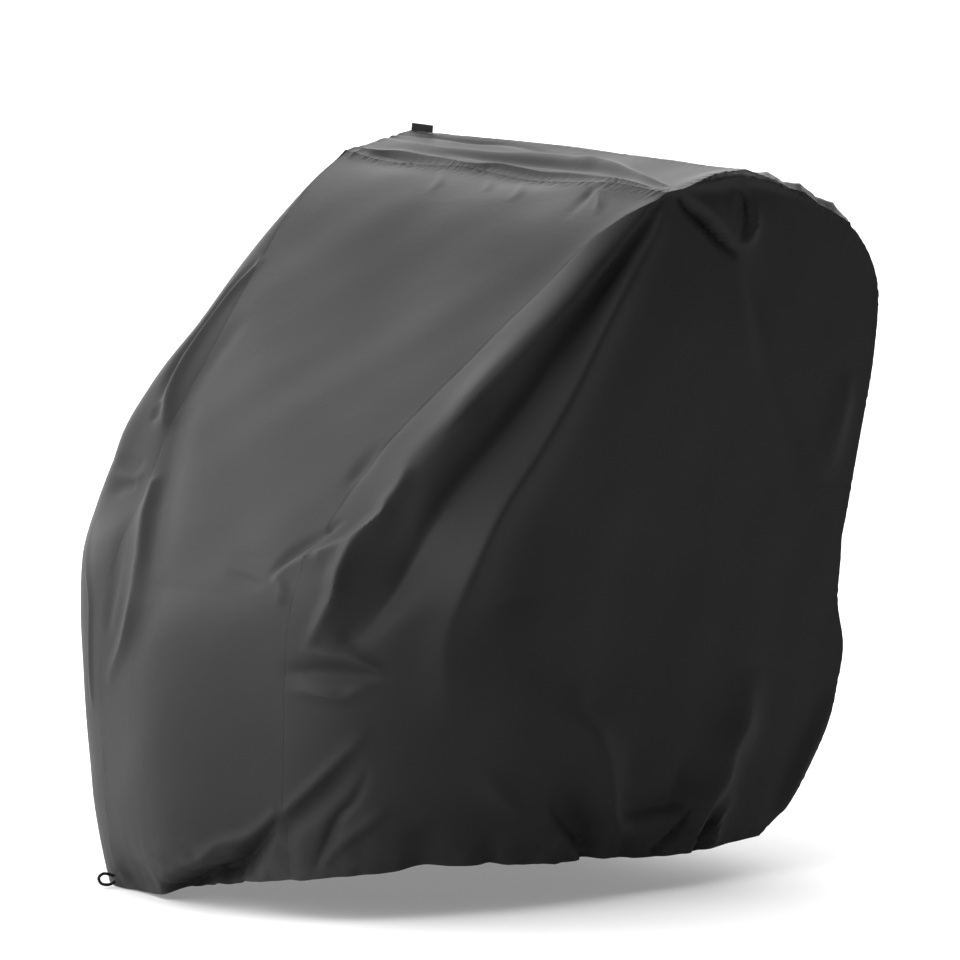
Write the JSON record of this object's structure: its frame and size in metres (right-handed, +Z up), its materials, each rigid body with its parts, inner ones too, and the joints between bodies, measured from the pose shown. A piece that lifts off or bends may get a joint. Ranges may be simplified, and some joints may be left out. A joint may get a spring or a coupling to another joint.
{
  "type": "bike trailer cover",
  "caption": "Fitted storage cover in dark grey coated cloth, shaped to hang over a child's bike trailer, with a sloping front, sewn panels and an elastic hem.",
  "frame": {"origin": "on the floor, under the middle of the hanging cover's box", "axes": "+X across the cover, towards the side panel with the long diagonal fold; -Y towards the sloping front and the nose; +Z up"},
  "size_m": [0.797, 1.0673, 1.0401],
  "materials": {
    "cover_cloth": "satin coated weave",
    "black_trim": "matt woven tape and elastic"
  },
  "bodies": {
    "root": {"front_panel": "cover_cloth", "top_panel": "cover_cloth", "rear_panel": "cover_cloth", "side_panel_right": "cover_cloth", "side_panel_left": "cover_cloth", "seam_label": "black_trim", "hem_loop": "black_trim"}
  },
  "joints": []
}
